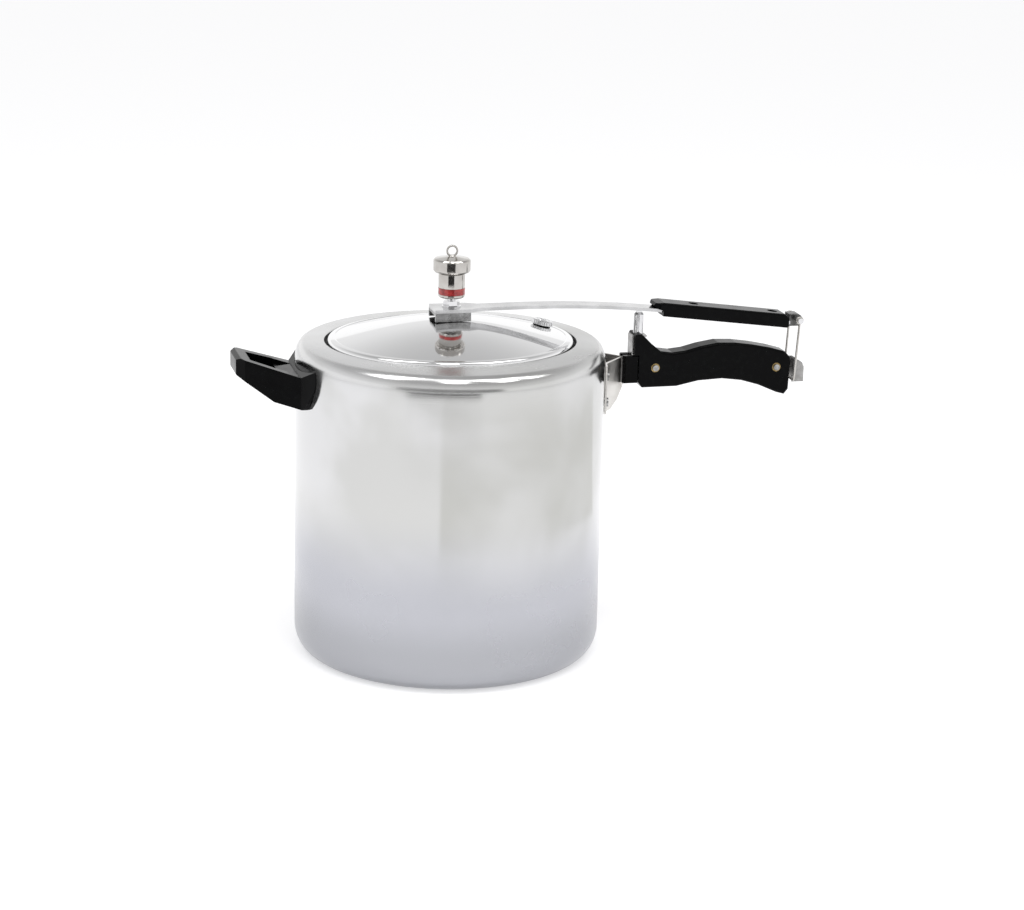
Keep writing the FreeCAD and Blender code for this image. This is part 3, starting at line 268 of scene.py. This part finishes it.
def nickel_finish():
    """Warmer, darker plating of the regulator weight, with fine turning lines."""
    f = Finish("nickel_plate", (0.52, 0.5, 0.475), 1.0)
    f.tint(f.ranged(f.noise(140.0, 4.0), 0.0, 1.0), (0.49, 0.47, 0.445), (0.55, 0.535, 0.51))
    f.roughness(f.ranged(f.noise(160.0, 4.0), 0.04, 0.12))
    f.bump(f.noise(1.0, 2.0, f.stretched((30, 30, 2600))), 0.00003, 0.25)
    return f.material


def bar_finish():
    """Drawn steel bar under thin plating, with lengthwise lines."""
    f = Finish("bar_plate", (0.52, 0.52, 0.525), 1.0)
    f.tint(f.ranged(f.noise(50.0, 4.0), 0.0, 1.0), (0.47, 0.47, 0.475), (0.57, 0.57, 0.575))
    f.roughness(f.ranged(f.noise(70.0, 5.0), 0.1, 0.22))
    f.bump(f.noise(1.0, 3.0, f.stretched((25, 1800, 1800))), 0.00003, 0.25)
    return f.material


def worn_finish():
    """Steel of the bridge, mottled where it has been handled and heated."""
    f = Finish("steel_mottled", (0.3, 0.3, 0.3), 1.0)
    f.tint(f.ranged(f.noise(110.0, 5.0, rough=0.6), 0.0, 1.0), (0.2, 0.2, 0.2), (0.42, 0.42, 0.42))
    f.roughness(f.ranged(f.noise(90.0, 5.0), 0.18, 0.34))
    f.bump(f.noise(300.0, 3.0), 0.00006, 0.2)
    return f.material


def dark_sheet_finish():
    """Pressed steel sheet of the small tabs, darkened by heat, with a cross grain."""
    f = Finish("steel_tab", (0.33, 0.325, 0.32), 1.0)
    f.tint(f.ranged(f.noise(130.0, 4.0), 0.0, 1.0), (0.28, 0.275, 0.27), (0.4, 0.395, 0.39))
    f.roughness(f.ranged(f.noise(100.0, 5.0), 0.2, 0.38))
    f.bump(f.noise(1.0, 4.0, f.stretched((60, 2200, 60))), 0.00004, 0.25)
    return f.material


def lug_finish():
    """Blackened fitting at the bar's end, rubbed a little bright."""
    f = Finish("steel_blackened", (0.12, 0.12, 0.12), 1.0)
    f.tint(f.ranged(f.noise(200.0, 4.0), 0.0, 1.0), (0.07, 0.07, 0.07), (0.18, 0.18, 0.18))
    f.roughness(f.ranged(f.noise(160.0, 4.0), 0.24, 0.42))
    f.bump(f.noise(500.0, 3.0), 0.00005, 0.25)
    return f.material


def zinc_finish():
    """Zinc-plated fasteners, dulled and slightly spangled."""
    f = Finish("zinc_plate", (0.66, 0.67, 0.69), 1.0)
    f.tint(f.ranged(f.noise(300.0, 2.0), 0.0, 1.0), (0.42, 0.42, 0.42), (0.26, 0.26, 0.26))
    f.roughness(f.ranged(f.noise(180.0, 4.0), 0.18, 0.38))
    f.bump(f.noise(600.0, 2.0), 0.00005, 0.2)
    return f.material


def brass_finish():
    """Worn brass of the bolt washers."""
    f = Finish("brass_worn", (0.72, 0.55, 0.26), 1.0)
    f.tint(f.ranged(f.noise(400.0, 4.0), 0.0, 1.0), (0.42, 0.31, 0.14), (0.2, 0.14, 0.06))
    f.roughness(f.ranged(f.noise(300.0, 4.0), 0.2, 0.42))
    f.bump(f.noise(800.0, 2.0), 0.00005, 0.2)
    return f.material


def alloy_finish():
    """Dull soft alloy of the safety valve's plug."""
    f = Finish("fusible_alloy_dull", (0.42, 0.42, 0.43), 1.0)
    f.tint(f.ranged(f.noise(500.0, 4.0), 0.0, 1.0), (0.5, 0.5, 0.51), (0.3, 0.3, 0.31))
    f.roughness(f.ranged(f.noise(400.0, 4.0), 0.35, 0.6))
    f.bump(f.noise(900.0, 3.0), 0.0001, 0.3)
    return f.material


def bakelite_finish():
    """Glossy black moulding with faint flow marks, dust specks and rubbed patches."""
    f = Finish("bakelite_black", (0.002, 0.002, 0.0022), 0.0, Specular_IOR_Level=0.07)
    f.tint(f.ranged(f.noise(220.0, 5.0), 0.0, 1.0, 0.45, 0.8), (0.001, 0.001, 0.0012), (0.003, 0.003, 0.0034))
    f.roughness(f.ranged(f.noise(55.0, 6.0, rough=0.65), 0.09, 0.24))
    f.bump(f.noise(70.0, 2.0), 0.0002, 0.12)
    f.bump(f.noise(2600.0, 2.0), 0.00003, 0.12)
    return f.material


def rubber_finish():
    """Matt black rubber of the seals."""
    f = Finish("rubber_black", (0.012, 0.012, 0.012), 0.0, Specular_IOR_Level=0.3)
    f.tint(f.ranged(f.noise(150.0, 4.0), 0.0, 1.0), (0.01, 0.01, 0.01), (0.03, 0.03, 0.03))
    f.roughness(f.ranged(f.noise(250.0, 4.0), 0.5, 0.75))
    f.bump(f.noise(1500.0, 2.0), 0.0001, 0.3)
    return f.material


def red_finish():
    """Lacquered red band, a little uneven where it was rolled on."""
    f = Finish("red_lacquer", (0.33, 0.012, 0.012), 0.0, Coat_Weight=0.6)
    f.tint(f.ranged(f.noise(320.0, 4.0), 0.0, 1.0), (0.42, 0.016, 0.014), (0.22, 0.007, 0.008))
    f.roughness(f.ranged(f.noise(200.0, 4.0), 0.16, 0.34))
    f.bump(f.noise(700.0, 2.0), 0.00006, 0.25)
    return f.material


FINISHES = {
    "pot_aluminium": pot_finish(),
    "lid_aluminium": lid_finish(),
    "steel_sheet": sheet_finish(),
    "chrome_steel": chrome_finish(),
    "zinc_steel": zinc_finish(),
    "brass": brass_finish(),
    "fusible_alloy": alloy_finish(),
    "black_bakelite": bakelite_finish(),
    "black_rubber": rubber_finish(),
    "red_band": red_finish(),
}
NICKEL = nickel_finish()
TAB = dark_sheet_finish()
OWN_FINISHES = {
    "weight_ring": NICKEL,
    "locking_loop": NICKEL,
    "lid_bar": bar_finish(),
    "lid_bridge": worn_finish(),
    "bar_end_lug": lug_finish(),
    "loop_thumb_tab": TAB,
    "post_tab": TAB,
}

# ---------------------------------------------------------------- CAD nodes that keep their shape

NODE_SLOTS = {part["node"]: part["material_slot"] for part in frame["record"]["subparts"]}

for name, node in frame["nodes"].items():
    finish = OWN_FINISHES.get(name, FINISHES[NODE_SLOTS[name]])
    if not node.data.materials:
        node.data.materials.append(finish)
    for index in range(len(node.data.materials)):
        node.data.materials[index] = finish

# ---------------------------------------------------------------- turned pieces


def eased(corners, steps=6):
    """A polyline with each corner (coordinates..., radius) rounded off."""
    points = []
    for i, corner in enumerate(corners):
        spot, radius = Vector(corner[:-1]), corner[-1]
        if radius <= 0 or i in (0, len(corners) - 1):
            points.append(spot)
            continue
        before = Vector(corners[i - 1][:-1]) - spot
        after = Vector(corners[i + 1][:-1]) - spot
        angle = before.angle(after)
        reach = radius / math.tan(angle / 2)
        reach = min(reach, before.length * 0.48, after.length * 0.48)
        start = spot + before.normalized() * reach
        end = spot + after.normalized() * reach
        for k in range(steps + 1):
            t = k / steps
            # a rational curve with this weight is a true arc
            weight = math.sin(angle / 2)
            top = start * (1 - t) ** 2 + spot * 2 * weight * t * (1 - t) + end * t ** 2
            points.append(top / ((1 - t) ** 2 + 2 * weight * t * (1 - t) + t ** 2))
    return points


def turned(name, rings, segments, closed=False, wobble=None):
    """A mesh of stacked ovals. Each ring is (half length, half width, height) in metres."""
    mesh = bmesh.new()
    loops = []
    for long_half, short_half, height in rings:
        if long_half < 1e-7:
            loops.append([mesh.verts.new((0, 0, height))])
            continue
        loop = []
        for i in range(segments):
            angle = 2 * math.pi * i / segments
            spot = Vector((long_half * math.cos(angle), short_half * math.sin(angle), height))
            if wobble:
                spot = wobble(spot)
            loop.append(mesh.verts.new(spot))
        loops.append(loop)
    pairs = list(zip(loops, loops[1:]))
    if closed:
        pairs.append((loops[-1], loops[0]))
    for low, high in pairs:
        for i in range(segments):
            j = (i + 1) % segments
            if len(low) == 1:
                mesh.faces.new((low[0], high[j], high[i]))
            elif len(high) == 1:
                mesh.faces.new((low[i], low[j], high[0]))
            else:
                mesh.faces.new((low[i], low[j], high[j], high[i]))
    return finished(name, mesh)


def finished(name, mesh, crease=38.0):
    """A smooth-shaded object from a bmesh, with edges over a crease angle kept sharp."""
    bmesh.ops.recalc_face_normals(mesh, faces=mesh.faces)
    for face in mesh.faces:
        face.smooth = True
    for edge in mesh.edges:
        if len(edge.link_faces) == 2 and edge.calc_face_angle(0) > math.radians(crease):
            edge.smooth = False
    data = bpy.data.meshes.new(name)
    mesh.to_mesh(data)
    mesh.free()
    made = bpy.data.objects.new(name, data)
    bpy.context.scene.collection.objects.link(made)
    return made


def settle(obj, body, slot, *nodes, finish=None):
    """Finish, ride and stand in for CAD nodes."""
    obj.data.materials.clear()
    obj.data.materials.append(finish or FINISHES[slot])
    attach(obj, body)
    if nodes:
        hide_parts(*nodes)
    return obj


# ---------------------------------------------------------------- pot

POT_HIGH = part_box("pot_body")[1]
POT_RADIUS = POT_HIGH.y
POT_TOP = POT_HIGH.z
WALL = 3.5 * MM
BASE_THICK = 5 * MM
BASE_CORNER = 22 * MM
SHOULDER_ROUND = 15 * MM
SHOULDER_TOP = POT_TOP - 2.6 * MM
CROWN_THICK = 4 * MM
MOUTH_LONG = 114 * MM
MOUTH_SHORT = 103 * MM
POT_SEGMENTS = 256


WAVES_FROM = 0.03
WAVES_TO = POT_TOP - 0.02
WAVES_FADE = 0.03


def dented(spot):
    """Shallow waves in the drawn wall, none at the base and the rolled crown."""
    if not WAVES_FROM < spot.z < WAVES_TO:
        return spot
    fade = min(1.0, (spot.z - WAVES_FROM) / WAVES_FADE, (WAVES_TO - spot.z) / WAVES_FADE)
    wave = noise.noise(Vector((spot.x * 11, spot.y * 11, spot.z * 7)))
    wave += 0.5 * noise.noise(Vector((spot.x * 26, spot.y * 26, spot.z * 17 + 5)))
    push = 1.0 + 0.0011 * fade * (wave - 0.6)
    return Vector((spot.x * push, spot.y * push, spot.z))


def make_pot():
    """Pot wall, base, rolled shoulder and the crown with its oval mouth."""
    inner = POT_RADIUS - WALL
    lip = 1.2 * MM
    outside = [
        (0.0, 0.0, 1.2 * MM, 0.0),
        (0.082, 0.082, 1.2 * MM, 1 * MM),
        (0.084, 0.084, 0.0, 1 * MM),
        (POT_RADIUS, POT_RADIUS, 0.0, BASE_CORNER),
        (POT_RADIUS, POT_RADIUS, SHOULDER_TOP, SHOULDER_ROUND),
        (MOUTH_LONG, MOUTH_SHORT, POT_TOP, lip),
        (MOUTH_LONG, MOUTH_SHORT, POT_TOP - CROWN_THICK, lip),
        (0.124, 0.124, POT_TOP - CROWN_THICK, 0.0),
        (inner, inner, SHOULDER_TOP - CROWN_THICK, SHOULDER_ROUND - WALL),
        (inner, inner, BASE_THICK, BASE_CORNER - WALL),
        (0.0, 0.0, BASE_THICK, 0.0),
    ]
    rings = []
    for spot in eased(outside, 12):
        if rings and abs(spot.z - rings[-1][2]) > 0.02:
            last = Vector(rings[-1])
            pieces = 48
            for k in range(1, pieces):
                rings.append(tuple(last.lerp(spot, k / pieces)))
        rings.append(tuple(spot))
    pot = turned("pot_shell", rings, POT_SEGMENTS, wobble=dented)
    settle(pot, "pot", "pot_aluminium", "pot_body")


make_pot()

# ---------------------------------------------------------------- lid

LID_LONG = 111.5 * MM
LID_SHORT = 100.5 * MM
LID_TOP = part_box("lid_bridge")[0].z
PANEL_SHARE = 0.935
PANEL_EDGE = 290.4 * MM


def lid_height(share):
    """Height of the domed panel at a share of its half length."""
    soft = 0.65
    fall = math.hypot(share, soft) - soft
    whole = math.hypot(PANEL_SHARE, soft) - soft
    return LID_TOP - (LID_TOP - PANEL_EDGE) * fall / whole


def make_lid():
    """Oval lid: domed panel, rolled edge, skirt through the mouth and a flange."""
    thick = 3 * MM
    count = 34
    near_edge = PANEL_SHARE - 0.02
    edge_long, edge_short = LID_LONG * PANEL_SHARE, LID_SHORT * PANEL_SHARE
    bead = 0.9 * MM
    flange = 9 * MM
    flange_top, flange_low = 279 * MM, 276 * MM
    rings = [(0.0, 0.0, LID_TOP)]
    for i in range(1, count + 1):
        share = PANEL_SHARE * i / count
        rings.append((LID_LONG * share, LID_SHORT * share, lid_height(share)))
    edge = [
        (LID_LONG * near_edge, LID_SHORT * near_edge, lid_height(near_edge), 0.0),
        (edge_long, edge_short, PANEL_EDGE, 0.6 * MM),
        (edge_long + bead, edge_short + bead, PANEL_EDGE + 0.35 * MM, 0.8 * MM),
        (LID_LONG, LID_SHORT, PANEL_EDGE - 0.6 * MM, 5.0 * MM),
        (LID_LONG, LID_SHORT, flange_top, 0.8 * MM),
        (LID_LONG + flange, LID_SHORT + flange, flange_top, 1.3 * MM),
        (LID_LONG + flange, LID_SHORT + flange, flange_low, 1.3 * MM),
        (LID_LONG - thick, LID_SHORT - thick, flange_low, 0.8 * MM),
        (LID_LONG - thick, LID_SHORT - thick, PANEL_EDGE - 3.2 * MM, 1.5 * MM),
        (edge_long - 1 * MM, edge_short - 1 * MM, PANEL_EDGE - thick, 0.0),
    ]
    rings += [tuple(p) for p in eased(edge, 8)][1:]
    for i in range(14, -1, -1):
        share = PANEL_SHARE * 0.98 * i / 15
        rings.append((LID_LONG * share, LID_SHORT * share, lid_height(share) - thick))
    lid = turned("lid_shell", rings, 224)
    settle(lid, "lid", "lid_aluminium", "lid_plate")


make_lid()


def make_safety_valve():
    """Knurled round head with a dished top, on its tilted axis, and the barrel below."""
    teeth = 26
    tilt = math.radians(11.5)
    groove_depth = 0.42
    foot = Vector((89, 18, 293.2)) * MM
    axis = Matrix.Translation(foot) @ Matrix.Rotation(tilt, 4, "Y")
    # radius and height in millimetres, and whether the knurl cuts in here
    profile = [
        (5.0, -12.0, 0), (5.0, 1.25, 0),
        (8.6, 1.25, 0), (9.6, 1.9, 0),
        (9.7, 2.2, 1), (9.7, 4.9, 1),
        (9.4, 5.5, 0), (8.6, 6.0, 0), (7.4, 6.1, 0),
        (6.6, 5.7, 0), (5.4, 5.6, 0), (5.0, 6.2, 0),
        (3.3, 6.3, 0), (3.0, 5.9, 0), (3.0, -12.0, 0),
    ]
    segments = teeth * 6
    mesh = bmesh.new()
    loops = []
    for radius, height, cut in profile:
        loop = []
        for i in range(segments):
            angle = 2 * math.pi * i / segments
            groove = groove_depth * max(0.0, math.cos(angle * teeth)) if cut else 0.0
            reach = (radius - groove) * MM
            spot = Vector((reach * math.cos(angle), reach * math.sin(angle), height * MM))
            loop.append(mesh.verts.new(axis @ spot))
        loops.append(loop)
    for low, high in zip(loops, loops[1:] + loops[:1]):
        for i in range(segments):
            j = (i + 1) % segments
            mesh.faces.new((low[i], low[j], high[j], high[i]))
    valve = finished("safety_valve_knurled", mesh)
    settle(valve, "lid", "chrome_steel", "safety_valve_body")


make_safety_valve()

# ---------------------------------------------------------------- regulator weight

WEIGHT_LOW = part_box("weight_body")[0]
CAP_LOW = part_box("weight_cap")[0]


def lathe(name, profile, segments=96, steps=5):
    """A round turned piece from (radius, height, corner) in millimetres."""
    corners = [(r * MM, r * MM, z * MM, c * MM) for r, z, c in profile]
    return turned(name, [tuple(p) for p in eased(corners, steps)], segments)


def make_weight():
    """Turned body, bored for the vent stem and grooved for its band, and the domed cap."""
    base = WEIGHT_LOW.z / MM
    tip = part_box("vent_stem")[1].z / MM
    body = lathe("weight_barrel", [
        (0, tip + 1.4, 0),
        (2.8, tip + 0.5, 0),
        (4.3, tip - 1.6, 0),
        (4.3, base, 0.4),
        (10.8, base, 0.5),
        (12, base + 1.0, 0.4),
        (12, base + 2.9, 0.25),
        (11.7, base + 3.1, 0),
        (11.2, base + 3.1, 0),
        (11.2, base + 8.7, 0),
        (11.7, base + 8.7, 0),
        (12, base + 8.9, 0.25),
        (12, base + 21.6, 0.4),
        (11.3, base + 22.2, 0.2),
        (11.3, base + 22.9, 0.2),
        (12, base + 23.3, 0.2),
        (12, base + 25, 0),
        (0, base + 25, 0),
    ])
    settle(body, "weight", "chrome_steel", "weight_body", finish=NICKEL)
    low = CAP_LOW.z / MM
    cap = lathe("weight_top", [
        (0, low + 1.6, 0),
        (11.9, low + 1.6, 0.2),
        (12.2, low, 0.3),
        (15.6, low, 0.8),
        (16.8, low + 1.4, 0.8),
        (16.8, low + 10.6, 0.9),
        (15.5, low + 12.0, 0.8),
        (6, low + 13.4, 1.2),
        (3.1, low + 13.9, 0.7),
        (2.3, low + 15.2, 0.7),
        (0, low + 15.4, 0),
    ])
    settle(cap, "weight", "chrome_steel", "weight_cap", finish=NICKEL)


make_weight()

# ---------------------------------------------------------------- stage, lights and world


def plane(name, width, depth, place, facing, material):
    """A flat card of one quad, facing a direction."""
    mesh = bmesh.new()
    corners = ((-1, -1), (1, -1), (1, 1), (-1, 1))
    spots = [(x * width / 2, y * depth / 2) for x, y in corners]
    mesh.faces.new([mesh.verts.new((x, y, 0)) for x, y in spots])
    data = bpy.data.meshes.new(name)
    mesh.to_mesh(data)
    mesh.free()
    data.materials.append(material)
    made = bpy.data.objects.new(name, data)
    made.rotation_mode = "QUATERNION"
    made.rotation_quaternion = Vector(facing).to_track_quat("Z", "Y")
    made.location = place
    bpy.context.scene.collection.objects.link(made)
    return made


def glowing(name, colour, glow, albedo):
    """Pale matt surface with an even glow of its own."""
    f = Finish(name, albedo, 0.0, Specular_IOR_Level=0.0)
    f.shader.inputs["Roughness"].default_value = 0.9
    f.shader.inputs["Emission Color"].default_value = (*colour, 1)
    f.shader.inputs["Emission Strength"].default_value = glow
    return f.material


def reflected_only(obj):
    """Keep a card out of every ray but the mirrored ones."""
    obj.visible_camera = False
    obj.visible_diffuse = False
    obj.visible_shadow = False
    obj.visible_transmission = False


def sector(name, inner, outer, start, stop, height, material):
    """A flat card on the floor between two radii and two azimuths from the camera's line."""
    steps = 24
    mesh = bmesh.new()
    rims = []
    for radius in (inner, outer):
        rim = []
        for i in range(steps + 1):
            angle = math.radians(start + (stop - start) * i / steps)
            spot = turned_to_row(radius * math.sin(angle), -radius * math.cos(angle), height)
            rim.append(mesh.verts.new(spot))
        rims.append(rim)
    for i in range(steps):
        mesh.faces.new((rims[0][i], rims[1][i], rims[1][i + 1], rims[0][i + 1]))
    made = finished(name, mesh)
    made.data.materials.append(material)
    return made


def make_stage():
    """Pale floor, and the cards whose reflections shape the polished metal."""
    floor = glowing("floor_pale", (1, 1, 1), 0.42, (0.82, 0.82, 0.83))
    plane("floor", 40, 40, (0, 0, -0.0002), (0, 0, 1), floor)
    dark = glowing("flag_dark", (1, 1, 1), 0.03, (0.02, 0.02, 0.02))
    shade = glowing("flag_grey", (1, 1, 1), 0.25, (0.1, 0.1, 0.1))
    grey = glowing("card_grey", (1, 1, 0.98), 0.34, (0.68, 0.68, 0.67))
    cards = [
        sector("flag_low", 1.3, 3.4, -30, 22, 0.004, dark),
        sector("card_right", 0.52, 1.07, -5, 125, 0.003, grey),
        plane("flag_tall", 5.0, 1.0, turned_to_row(0, -3.2, 0.75), turned_to_row(0, 1, 0), shade),
    ]
    for card in cards:
        reflected_only(card)


def softbox(name, azimuth, elevation, distance, width, height, radiance):
    """An area light facing the lid, by its direction from the camera's line."""
    azimuth, elevation = math.radians(azimuth), math.radians(elevation)
    aim = Vector((0, 0, 0.25))
    back = turned_to_row(
        math.sin(azimuth) * math.cos(elevation),
        -math.cos(azimuth) * math.cos(elevation),
        math.sin(elevation),
    )
    data = bpy.data.lights.new(name, "AREA")
    data.shape = "RECTANGLE"
    data.size = width
    data.size_y = height
    data.energy = radiance * math.pi * width * height
    light = bpy.data.objects.new(name, data)
    light.location = aim + back * distance
    light.rotation_mode = "QUATERNION"
    light.rotation_quaternion = back.to_track_quat("Z", "Y")
    light.visible_camera = False
    bpy.context.scene.collection.objects.link(light)


def make_lights():
    """Four soft boxes and a bright studio surround."""
    softbox("softbox_left", -68, 64, 2.0, 0.6, 1.1, 3.6)
    softbox("softbox_front", 6, 68, 2.2, 0.45, 1.1, 3.6)
    softbox("softbox_right", 58, 64, 2.2, 0.45, 1.1, 3.6)
    softbox("softbox_side", 88, 58, 2.2, 0.45, 0.9, 3.4)
    world = bpy.data.worlds.new("studio")
    world.use_nodes = True
    tree = world.node_tree
    back = tree.nodes["Background"]
    place = tree.nodes.new("ShaderNodeTexCoord")
    parts = tree.nodes.new("ShaderNodeSeparateXYZ")
    tree.links.new(place.outputs["Generated"], parts.inputs[0])
    product = tree.nodes.new("ShaderNodeMath")
    product.operation = "MULTIPLY"
    # a bright backdrop with a clear upper edge, then a fall towards the zenith
    falls = ((0.25, 0.28, 1.12, 0.92), (0.3, 0.85, 1.0, 0.53))
    for socket, values in zip(product.inputs, falls):
        fall = tree.nodes.new("ShaderNodeMapRange")
        fall.interpolation_type = "SMOOTHSTEP"
        for key, value in zip(("From Min", "From Max", "To Min", "To Max"), values):
            fall.inputs[key].default_value = value
        tree.links.new(parts.outputs["Z"], fall.inputs["Value"])
        tree.links.new(fall.outputs["Result"], socket)
    tree.links.new(product.outputs[0], back.inputs["Strength"])
    back.inputs["Color"].default_value = (1, 1, 1, 1)
    bpy.context.scene.world = world


make_stage()
make_lights()
bpy.context.scene.view_settings.view_transform = "Standard"
